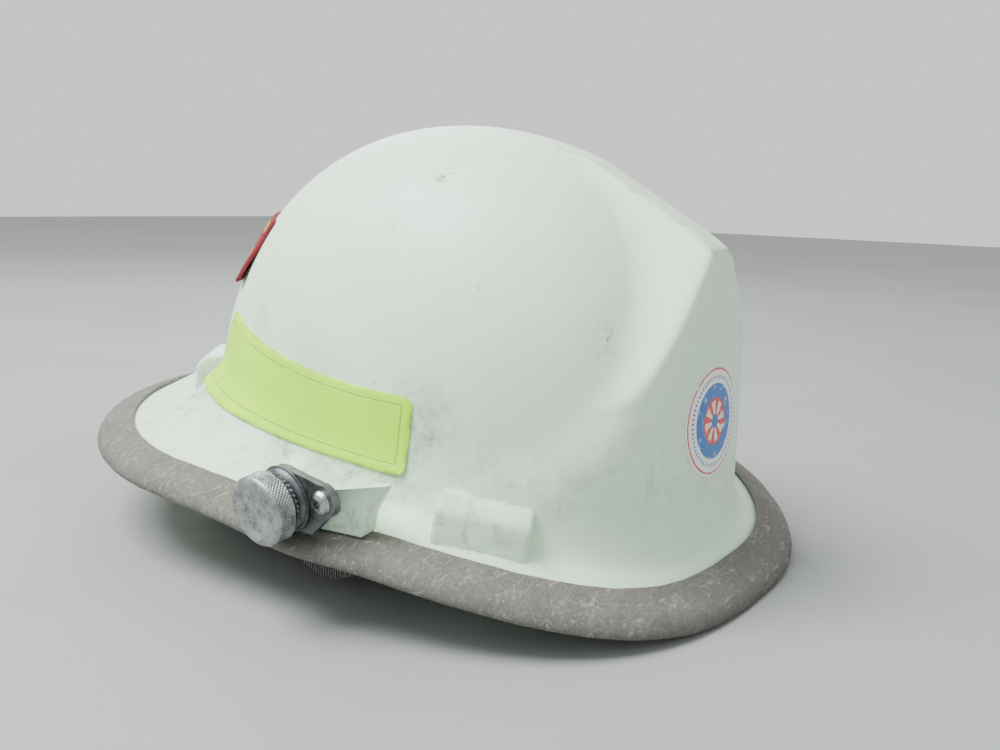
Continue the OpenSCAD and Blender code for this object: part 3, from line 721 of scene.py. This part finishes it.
def axis_matrix(side):
    """The knob's own frame, +Z outwards, on the right (-1) or left (1) of the brim."""
    right = Matrix.Translation(AXIS_AT) @ Matrix.Rotation(math.radians(90) + DIP, 4, "X")
    return right if side < 0 else Matrix.Diagonal((1, -1, 1, 1)) @ right


PAD_DEPTH, PAD_BREAK, PAD_SLOPE = -15, 13, 0.52


def build_shield_pads(mat):
    """Wedges moulded under the bracket plates, which run down into the brim at their front ends."""
    profile = [(-10, -13), (-10, -2), (0, 3), (20, 5), (39, 7.5), (30, -5), (27, -14)]
    n = len(profile)
    base = [(x, y, PAD_DEPTH) for x, y in profile]
    face = [(x, y, -0.02 - max(x - PAD_BREAK, 0) * PAD_SLOPE) for x, y in profile]
    for side, word in SIDES:
        frame_m = axis_matrix(side)
        verts = [frame_m @ Vector((x * MM, y * MM, z * MM)) for x, y, z in base + face]
        faces = [tuple(range(n))[::-1], tuple(range(n, 2 * n))]
        faces += [(i, (i + 1) % n, n + (i + 1) % n, n + i) for i in range(n)]
        pad = make(f"shield_pad_{word}", verts, faces, mat, slot="shell")
        add_bevel(pad, 0.0007, 3)


def lathe(profile, steps):
    """Rings of a profile [(r, z)] in millimetres turned about Z."""
    t = np.arange(steps) * 2 * math.pi / steps
    return np.array([[(r * math.cos(a), r * math.sin(a), z) for a in t] for r, z in profile])


def lathe_piece(name, profile, steps, side, mat, shape=None, **facts):
    grid = lathe(profile, steps)
    if shape:
        grid = shape(grid)
    rows = grid.shape[0]
    flat = np.concatenate([grid.reshape(-1, 3), [(0, 0, profile[0][1]), (0, 0, profile[-1][1])]]) * MM
    frame_m = axis_matrix(side)
    verts = [frame_m @ Vector(v) for v in flat]
    faces = ring_faces(rows, steps)
    n = rows * steps
    faces += [(n, (j + 1) % steps, j) for j in range(steps)]
    faces += [(n + 1, (rows - 1) * steps + j, (rows - 1) * steps + (j + 1) % steps) for j in range(steps)]
    return make(name, verts, faces, mat, sharp=38, **facts)


KNOB_R, KNOB_L, KNOB_BASE = 13.5, 9.5, 3 + 4.2 + 0.9 + 0.2


def knurl(grid):
    """Presses a diamond knurl into the rings between the knob's two plain edges."""
    low, high = KNOB_BASE + 2.0, KNOB_BASE + KNOB_L - 1.3
    r = np.hypot(grid[..., 0], grid[..., 1])
    t = np.arctan2(grid[..., 1], grid[..., 0])
    z = grid[..., 2]
    inside = (z > low) & (z < high) & (r > KNOB_R - 0.2)
    turns = t / (2 * math.pi) * 56
    rows = (z - low) / (high - low) * 4
    saw_a = np.abs(((turns + rows) % 1) - 0.5)
    saw_b = np.abs(((turns - rows) % 1) - 0.5)
    groove = np.clip(np.maximum(saw_a, saw_b) * 2.6 - 0.75, 0, 1)
    scale = np.where(inside, 1 - 0.55 * groove / KNOB_R, 1)
    out = grid.copy()
    out[..., :2] *= scale[..., None]
    return out


def build_knobs(mat, side, word):
    b, r, h = KNOB_BASE, KNOB_R, KNOB_L
    side_rings = [(r, z) for z in np.linspace(b + 1.9, b + h - 1.2, 40)]
    profile = [(3.2, b), (r - 2, b), (r - 2, b + 1.45), (r - 0.5, b + 1.5)] + side_rings
    dish = [(r - 0.35, 0.7), (r - 0.9, 0.2), (r - 1.6, 0.02), (r - 2.6, 0.1),
            (r - 3.4, 0.35), (r - 5.5, 0.5), (r - 9, 0.58), (0.8, 0.62)]
    profile += [(ring, b + h - below) for ring, below in dish]
    lathe_piece(f"hand_knob_{word}", profile, 672, side, mat["knob"], knurl, body=f"knob_{word}",
                slot="knob_metal", replaces=(f"shield_knob_{word}",))


def build_spacer(mat, side, word):
    r, b = KNOB_R - 0.4, 3.0
    steps = [(3.1, 0), (r - 0.6, 0), (r - 0.1, 0.25), (r, 0.6), (r - 0.1, 1.0), (r - 0.5, 1.25),
             (r - 0.8, 1.3), (r - 0.95, 1.6), (r - 1.5, 2.3), (r - 2.4, 3.1), (r - 3.2, 3.7),
             (r - 3.5, 4.15), (r - 4, 4.2), (3.1, 4.2)]
    profile = [(ring, b + up) for ring, up in steps]
    lathe_piece(f"spacer_{word}", profile, 96, side, mat["spacer"], slot="spacer_metal",
                replaces=(f"spacer_disc_{word}",))


def serrate(grid):
    r = np.hypot(grid[..., 0], grid[..., 1])
    t = np.arctan2(grid[..., 1], grid[..., 0])
    tooth = np.abs(((t / (2 * math.pi) * 36) % 1) - 0.5) * 2
    scale = np.where(r > 10, 1 - 0.7 * tooth / 12.5, 1)
    out = grid.copy()
    out[..., :2] *= scale[..., None]
    return out


def build_washer(mat, side, word):
    b, r = 3 + 4.2 + 0.1, KNOB_R - 0.9
    profile = [(3.1, b), (r - 0.1, b), (r, b + 0.1), (r, b + 0.8), (r - 0.1, b + 0.9), (3.1, b + 0.9)]
    lathe_piece(f"toothed_washer_{word}", profile, 288, side, mat["bracket"], serrate, slot="bracket_metal",
                replaces=(f"star_washer_{word}",))


# ---------------------------------------------------------------- trim


def build_trim(mat):
    count = 520
    a = column_angles(count)
    w = TRIM_W
    top = 2.3 - 1.4 * saddle(rim_xy(a)[:, 0])
    wave = 0.12 * np.sin(a * 37) + 0.10 * np.sin(a * 61 + 1) + 0.08 * np.sin(a * 97 + 2)
    section = []
    # Kind 0 lies against the shell, kind 1 is the padded top with h a share of its height, and
    # kind 2 is the rolled outside and the underside with h in millimetres.
    for x, h, kind in [(w, 0.05, 0), (w + 0.15, 0.5, 1), (w + 0.1, 0.78, 1), (w - 0.4, 0.95, 1),
                       (w - 1.4, 1.0, 1), (w - 3.5, 1.02, 1), (w - 6, 1.04, 1), (w - 8.5, 1.06, 1),
                       (2.6, 1.06, 1), (0.6, 1.0, 1),
                       (-1.0, 0.82, 1), (-2.3, 0.42, 1), (-3.2, -0.3, 2), (-3.6, -1.4, 2), (-3.5, -2.6, 2),
                       (-2.9, -3.7, 2), (-1.8, -4.5, 2), (-0.4, -4.95, 2), (2, -5.0, 2), (w - 5, -4.95, 2),
                       (w - 1.5, -4.8, 2), (w - 0.3, -4.5, 2), (w, -4.0, 2), (w, -SHELL_T - 0.05, 0),
                       (-0.05, -SHELL_T - 0.05, 0), (-0.05, 0.05, 0)]:
        if kind == 1:
            section.append(band_point(a, x, h * top + wave * 0.6))
        elif kind == 2:
            section.append(band_point(a, x + wave * 0.4, h + 0 * a))
        else:
            section.append(band_point(a, x, h + 0 * a))
    grid = np.array(section)
    make("brim_trim", grid.reshape(-1, 3) * MM, ring_faces(len(section), count, True), mat, slot="trim",
         replaces=("edge_trim",), sharp=50)


# ---------------------------------------------------------------- panels


def rounded_grid(corners, cols, rows, round_mm, size_mm):
    """Azimuth and elevation over a four-cornered panel whose corners are rounded, with flat sizes."""
    dirs = np.array([aim(p) for p in corners])
    w, h = size_mm
    u = np.linspace(0, 1, cols)
    grid = np.zeros((rows, cols, 2))
    flat = np.zeros((rows, cols, 2))
    for i, v in enumerate(np.linspace(0, 1, rows)):
        for j, s in enumerate(u):
            x, y = s * w, v * h
            inset = 0
            edge_y = min(y, h - y)
            # Pull rows in near the ends so that the corners turn in an arc.
            if edge_y < round_mm:
                inset = round_mm - math.sqrt(max(round_mm ** 2 - (round_mm - edge_y) ** 2, 0))
            x = inset + s * (w - 2 * inset)
            fu, fv = x / w, y / h
            top = dirs[0] * (1 - fu) + dirs[1] * fu
            low = dirs[3] * (1 - fu) + dirs[2] * fu
            grid[i, j] = top * (1 - fv) + low * fv
            flat[i, j] = (x, y)
    return grid, flat


def add_panel_uv(obj, flat):
    """UVs in metres along the panel, the same for its front and its back."""
    layer = obj.data.uv_layers.new(name="panel")
    both = np.concatenate([flat.reshape(-1, 2), flat.reshape(-1, 2)]) * MM
    for loop in obj.data.loops:
        layer.data[loop.index].uv = both[loop.vertex_index]


def skin_panel(name, corners, size_mm, mat, thick, round_mm, slot, node, mirror=False, curl=0.0,
               cols=90, rows=34):
    """Thin panel hugging the shell between four corners, with rounded corners and a soft edge."""
    grid, flat = rounded_grid(corners, cols, rows, round_mm, size_mm)
    extra = np.zeros(grid.shape[:2])
    if curl:
        u = np.linspace(0, 1, cols)[None, :]
        v = np.linspace(0, 1, rows)[:, None]
        extra = curl * np.clip(u - 0.72, 0, 1) * 3 * np.clip(v - 0.35, 0, 1) * 2
    edge = np.minimum(np.minimum(flat[..., 0], size_mm[0] - flat[..., 0]),
                      np.minimum(flat[..., 1], size_mm[1] - flat[..., 1]))
    fall = np.clip(edge / 0.9, 0, 1) ** 0.5
    az, el = grid[..., 0], grid[..., 1]
    top = over_shell(az, el, PANEL_LIFT + extra + thick * (0.45 + 0.55 * fall))
    base = over_shell(az, el, PANEL_LIFT * 0.2 + extra)
    if mirror:
        top[..., 1] *= -1
        base[..., 1] *= -1
    verts, faces = slab(top * MM, base * MM)
    obj = make(name, verts, faces, mat, slot=slot, replaces=(node,), sharp=50)
    add_panel_uv(obj, flat)
    return obj


def build_emblem(mat):
    rings, steps = 14, 96
    centre = np.array([159.5, 0, EMBLEM_Z / MM])
    t = np.arange(steps) * 2 * math.pi / steps
    front, back = [], []
    for k in range(rings, 0, -1):
        r = 23.5 * k / rings
        pts = centre + np.stack([0 * t, r * np.cos(t), r * np.sin(t)], -1)
        az, el = aim(pts)
        front.append(skin(az, el, PANEL_LIFT + 0.35 if k < rings else PANEL_LIFT + 0.2))
        back.append(skin(az, el, 0.05))
    az, el = aim(centre)
    mid_front = skin(az, el, PANEL_LIFT + 0.35)
    mid_back = skin(az, el, 0.05)
    grid = np.array(front[::-1] + back)
    n = len(grid)
    verts = np.concatenate([grid.reshape(-1, 3), [mid_front, mid_back]]) * MM
    faces = ring_faces(n, steps)
    faces += [(n * steps, (j + 1) % steps, j) for j in range(steps)]
    faces += [(n * steps + 1, (n - 1) * steps + j, (n - 1) * steps + (j + 1) % steps) for j in range(steps)]
    make("emblem", verts, faces, mat, slot="emblem", replaces=("front_emblem",), sharp=50)


# ---------------------------------------------------------------- soft pieces


def arch_strap(name, az_deg, level, mat, node):
    """Woven strap over the head, with rolled selvedges."""
    az = math.radians(az_deg)
    reach = 1 / math.sqrt((math.cos(az) / 101) ** 2 + (math.sin(az) / 79) ** 2)
    base, top = 76.0, 158.0 - level
    steps, across = 96, 13
    over, under = [], []
    for i in range(steps + 1):
        s = math.pi * i / steps
        u = np.array([math.cos(s) * math.cos(az), math.cos(s) * math.sin(az), 0])
        side = np.array([-math.sin(az), math.cos(az), 0])
        p = np.array([DOME_X, 0, base]) + u * reach + np.array([0, 0, math.sin(s) * (top - base)])
        n = u + np.array([0, 0, math.sin(s)])
        row_o, row_u = [], []
        for j in range(across):
            f = j / (across - 1) * 2 - 1
            crown = 0.15 * (1 - f * f)
            row_o.append(p + side * 9.5 * f + n * (1.25 + crown - 0.25 * abs(f) ** 8))
            row_u.append(p + side * 9.5 * f + n * (0.05 + 0.25 * abs(f) ** 8))
        over.append(row_o)
        under.append(row_u)
    verts, faces = slab(np.array(over) * MM, np.array(under) * MM)
    make(name, verts, faces, mat, slot="webbing", replaces=(node,), sharp=60)


def pad_between(name, inner, outer, mat, node, seams=0):
    """Closed crowned pad between two grids; its border is pinched to a seam."""
    rows, cols, _ = inner.shape
    v = np.linspace(-1, 1, rows)[:, None]
    u = np.linspace(-1, 1, cols)[None, :]
    puff = np.clip(1 - np.abs(u) ** 6, 0, 1) ** 0.5 * np.clip(1 - np.abs(v) ** 4, 0, 1) ** 0.5
    if seams:
        channel = np.abs(np.sin((u + 1) / 2 * math.pi * seams)) ** 0.35
        puff = puff * (0.45 + 0.55 * channel)
    mid = (inner + outer) / 2
    half = (outer - inner) / 2
    k = (0.12 + 0.88 * puff)[..., None]
    verts, faces = slab((mid - half * k) * MM, (mid + half * k) * MM)
    obj = make(name, verts, faces, mat, slot="padding", replaces=(node,), sharp=70)
    return obj


def head_grid(angles, heights, off):
    rows = []
    for z in heights:
        rows.append([(DOME_X + (96 + off) * math.cos(a), (74 + off) * math.sin(a), z) for a in angles])
    return np.array(rows)


def build_pads(mat):
    angles = np.radians(np.linspace(-40.5, 40.5, 90))
    heights = np.linspace(51.2, 72.8, 22)
    pad_between("brow_cushion", head_grid(angles, heights, -6), head_grid(angles, heights, -0.4), mat,
                "brow_pad", seams=5)
    ys, zs = np.linspace(-32, 32, 70), np.linspace(0.1, 36, 36)
    x0, x1 = -61.2, -54.2
    face = np.array([[(x1, y, z) for y in ys] for z in zs])
    rear = np.array([[(x0, y, z) for y in ys] for z in zs])
    pad_between("nape_cushion", rear, face, mat, "nape_pad", seams=3)
    t = np.arange(96) * 2 * math.pi / 96
    rings = []
    profile = [(0.5, 0.0), (14, 0.05), (25, 0.15), (30, 0.6), (33.2, 1.8), (34, 3.0), (33.2, 4.2), (30, 5.4),
               (25, 5.85), (14, 5.98), (0.5, 6.0)]
    for r, z in profile:
        lobe = 1 - 0.03 * np.cos(t * 6) * (r > 20)
        rings.append(np.stack([DOME_X + r * lobe * np.cos(t), r * lobe * np.sin(t), 140.5 + z + 0 * t], -1))
    grid = np.array(rings)
    n = len(grid)
    verts = np.concatenate([grid.reshape(-1, 3), [(DOME_X, 0, 140.5), (DOME_X, 0, 146.5)]]) * MM
    faces = ring_faces(n, 96)
    faces += [(n * 96, (j + 1) % 96, j) for j in range(96)]
    faces += [(n * 96 + 1, (n - 1) * 96 + j, (n - 1) * 96 + (j + 1) % 96) for j in range(96)]
    pad = make("crown_cushion", verts, faces, mat, slot="padding", replaces=("crown_pad",), level=1)


def curtain(name, start_deg, off, thick, hem_low, hem_high, dip, high, mat, slot, node):
    """Hanging cloth round the back of the head, flaring out under the brim; its hem dips at azimuth dip."""
    cols, rows = 260, 40
    a = np.radians(np.linspace(start_deg, 360 - start_deg, cols))
    from_front = np.degrees(np.minimum(a, 2 * math.pi - a))
    low = hem_high - (hem_high - hem_low) * np.exp(-((from_front - dip) / 8) ** 2)
    over, under = [], []
    for i in range(rows + 1):
        s = i / rows
        fold = 2.2 * np.sin(9 * (a - math.pi)) * s
        rx = (108 + off) * (1 - s) + (130 + off) * s + fold
        ry = (81 + off) * (1 - s) + (104 + off) * s + fold
        z = high + (low - high) * s
        hem = 0.3 if s > 0.96 or s < 0.03 else 0.0
        n = np.stack([np.cos(a), np.sin(a), 0 * a], -1)
        p = np.stack([DOME_X + rx * np.cos(a), ry * np.sin(a), z], -1)
        over.append(p + n * (thick + hem))
        under.append(p - n * hem)
    grid = np.array(over)
    verts, faces = slab(grid * MM, np.array(under) * MM)
    obj = make(name, verts, faces, mat, slot=slot, replaces=(node,), sharp=70)


# ---------------------------------------------------------------- stage


def build_stage():
    m = Mat("studio_floor")
    tone = m.mix(m.ramp(m.noise(3, 3), 0.3, 0.7), (0.285, 0.305, 0.30), (0.315, 0.335, 0.33))
    m.set(Base_Color=tone,
          Roughness=m.ramp(m.noise(60, 4), 0.3, 0.7, 0.55, 0.7),
          Normal=m.bump(m.noise(150, 5), 0.0002))
    mesh = bpy.data.meshes.new("floor")
    s = 4.0
    mesh.from_pydata([(-s, -s, 0), (s, -s, 0), (s, s, 0), (-s, s, 0)], [], [(0, 1, 2, 3)])
    mesh.materials.append(m.mat)
    floor = bpy.data.objects.new("floor", mesh)
    floor.location.z = CAD_BOX[0][2]
    bpy.context.scene.collection.objects.link(floor)


def area_light(name, at, target, size, power, colour=(1, 1, 1)):
    data = bpy.data.lights.new(name, "AREA")
    data.shape = "RECTANGLE"
    data.size, data.size_y = size
    data.energy = power
    data.color = colour
    lamp = bpy.data.objects.new(name, data)
    bpy.context.scene.collection.objects.link(lamp)
    lamp.location = at
    lamp.rotation_euler = (Vector(target) - Vector(at)).to_track_quat("-Z", "Y").to_euler()


def build_light():
    world = bpy.data.worlds.new("studio")
    world.use_nodes = True
    sky = world.node_tree.nodes["Background"]
    sky.inputs["Color"].default_value = (0.98, 1.0, 0.99, 1)
    sky.inputs["Strength"].default_value = 1.0
    bpy.context.scene.world = world
    area_light("overhead", (-0.50, -0.65, 1.50), (0, 0, 0.08), (0.9, 0.9), 62)
    area_light("rear", (-0.9, 0.9, 0.9), (0, 0, 0.1), (0.9, 0.9), 7)


# ---------------------------------------------------------------- assembly

shell_mat = shell_material()
MATS = {
    "knob": metal("knurled_alloy", (0.24, 0.255, 0.26), (0.46, 0.48, 0.48), 0.34, 0.62, scale=170,
                  metallic=0.85),
    "spacer": metal("dark_alloy", (0.085, 0.095, 0.10), (0.17, 0.18, 0.19), 0.30, 0.58, metallic=0.8),
    "bracket": metal("bracket_steel", (0.12, 0.125, 0.13), (0.24, 0.25, 0.26), 0.35, 0.62, metallic=0.85),
    "screw": metal("bright_screw", (0.30, 0.31, 0.32), (0.58, 0.60, 0.61), 0.16, 0.42, metallic=1.0),
}
pad_mat = cloth("pad_cloth", (0.020, 0.020, 0.022), (0.055, 0.055, 0.060), 0.0011, 0.4)
webbing_mat = cloth("webbing", (0.012, 0.012, 0.014), (0.045, 0.045, 0.050), 0.0016, 0.3)
cover_mat = cloth("gold_cloth", (0.36, 0.22, 0.055), (0.55, 0.36, 0.11), 0.0010, 0.35)
lining_mat = cloth("black_fleece", (0.006, 0.006, 0.007), (0.030, 0.030, 0.033), 0.0014, 0.8, 0.0004)
band_mat = plastic("band_plastic", (0.012, 0.012, 0.013), (0.035, 0.035, 0.037))
knob_plastic = plastic("knob_plastic", (0.008, 0.008, 0.009), (0.024, 0.024, 0.026), 0.38)
liner_mat = foam("liner_foam", (0.014, 0.014, 0.015), (0.045, 0.045, 0.047))

build_shell(shell_mat)
build_bosses(shell_mat)
build_shield_pads(shell_mat)
build_trim(trim_material())

RIGHT_PANEL = [(-48, -79, 105), (77, -93, 83.5), (77, -98, 53), (-64, -77, 67.5)]
panel_mat = panel_material()
for flip, word in ((False, "right"), (True, "left")):
    skin_panel(f"panel_{word}", RIGHT_PANEL, (PANEL_W / MM, PANEL_H / MM), panel_mat, 0.9, 4.5, "reflective",
               f"reflective_panel_{word}", mirror=flip)
PATCH = [(-57, -27, 142), (-36, -61, 142), (-46, -73, 113), (-71, -32, 113)]
skin_panel("back_patch", PATCH, (36, 32), patch_material(), 1.6, 2.0, "patch", "rear_patch", curl=3.0,
           cols=50, rows=40)
build_emblem(emblem_material())

for side, word in SIDES:
    build_knobs(MATS, side, word)
    build_spacer(MATS, side, word)
    build_washer(MATS, side, word)

for name, az, level in (("long", 0, 0), ("right", 62, 2), ("left", -62, 4)):
    arch_strap(f"webbing_{name}", az, level, webbing_mat, f"crown_strap_{name}")
build_pads(pad_mat)
curtain("neck_cover", 102, 5.6, 1.2, 4, 13, 133, 54, cover_mat, "cover_cloth", "ear_cover")
curtain("neck_lining", 76, 0.5, 3, 6, 16, 82, 52, lining_mat, "lining_cloth", "ear_cover_lining")

# CAD nodes that stay, each with its material and how much its edges are rounded.
KEPT = {
    "impact_liner": (liner_mat, 0),
    "headband": (band_mat, 0.0006), "ratchet_housing": (band_mat, 0.0015),
    "ratchet_knob": (knob_plastic, 0.0008), "rack_strap_right": (band_mat, 0.0003),
    "rack_strap_left": (band_mat, 0.0003), "nape_hanger": (band_mat, 0.0008),
    "shield_bracket_right": (MATS["bracket"], 0.0005), "shield_bracket_left": (MATS["bracket"], 0.0005),
    "bracket_screws": (MATS["screw"], 0.0002), "shield_stud_right": (MATS["screw"], 0.0003),
    "shield_stud_left": (MATS["screw"], 0.0003),
}
for node, (mat, width) in KEPT.items():
    obj = NODES[node]
    obj.data.materials.clear()
    obj.data.materials.append(mat)
    if width:
        bevel = obj.modifiers.new("round", "BEVEL")
        bevel.width = width
        bevel.segments = 2
        bevel.limit_method = "ANGLE"
        bevel.angle_limit = math.radians(35)

build_stage()
build_light()
